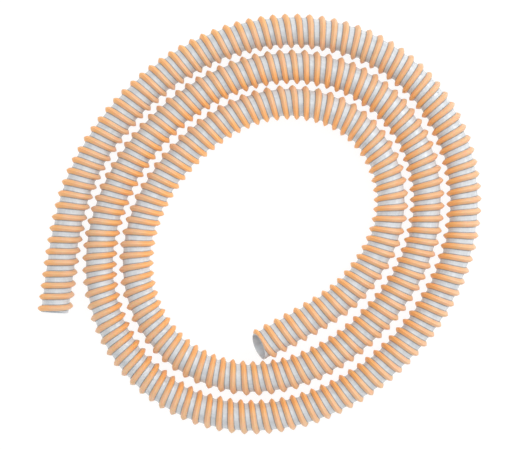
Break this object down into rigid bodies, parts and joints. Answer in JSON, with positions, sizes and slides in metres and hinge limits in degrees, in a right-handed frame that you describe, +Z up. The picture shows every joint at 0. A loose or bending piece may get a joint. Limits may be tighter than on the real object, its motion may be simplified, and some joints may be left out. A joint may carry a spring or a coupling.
{
  "type": "vacuum hose",
  "caption": "Flexible suction and vacuum hose with a clear grey wall and an orange helical rib, lying in a loose flat coil with bare ends.",
  "frame": {"origin": "on the surface that the hose lies on, under the middle of the coil's outline", "axes": "+Z up, square to the flat coil; +X and +Y in the plane of the coil, with the outer end at -X pointing towards -Y"},
  "size_m": [0.6624, 0.6285, 0.052],
  "materials": {
    "hose_wall": "semi-clear flexible vinyl, bluish grey, smooth and glossy",
    "helical_rib": "satin orange rigid vinyl, slightly translucent"
  },
  "bodies": {
    "outer_end": {"outer_end_wall": "hose_wall", "outer_end_rib": "helical_rib"},
    "outer_bend": {"outer_bend_wall": "hose_wall", "outer_bend_rib": "helical_rib"},
    "coil": {"coil_wall": "hose_wall", "coil_rib": "helical_rib"},
    "inner_bend": {"inner_bend_wall": "hose_wall", "inner_bend_rib": "helical_rib"},
    "inner_end": {"inner_end_wall": "hose_wall", "inner_end_rib": "helical_rib"}
  },
  "joints": [
    {"name": "outer_bend_swing", "type": "hinge", "parent": "coil", "child": "outer_bend", "pos_m": [-0.1287, 0.23089, 0.026], "axis": [0, 0, -1], "range_deg": [0, 20]},
    {"name": "outer_end_swing", "type": "hinge", "parent": "outer_bend", "child": "outer_end", "pos_m": [-0.27705, 0.03543, 0.026], "axis": [0, 0, -1], "range_deg": [0, 20]},
    {"name": "inner_bend_lift", "type": "hinge", "parent": "coil", "child": "inner_bend", "pos_m": [0.15764, 0.13522, 0.026], "axis": [-0.7301, -0.6833, 0], "range_deg": [0, 20]},
    {"name": "inner_end_lift", "type": "hinge", "parent": "inner_bend", "child": "inner_end", "pos_m": [0.14294, -0.09065, 0.026], "axis": [-0.7391, 0.6736, 0], "range_deg": [0, 20]}
  ],
  "couplings": [
    {"joint": "outer_end_swing", "follows": "outer_bend_swing", "ratio": 1},
    {"joint": "inner_end_lift", "follows": "inner_bend_lift", "ratio": 1}
  ]
}
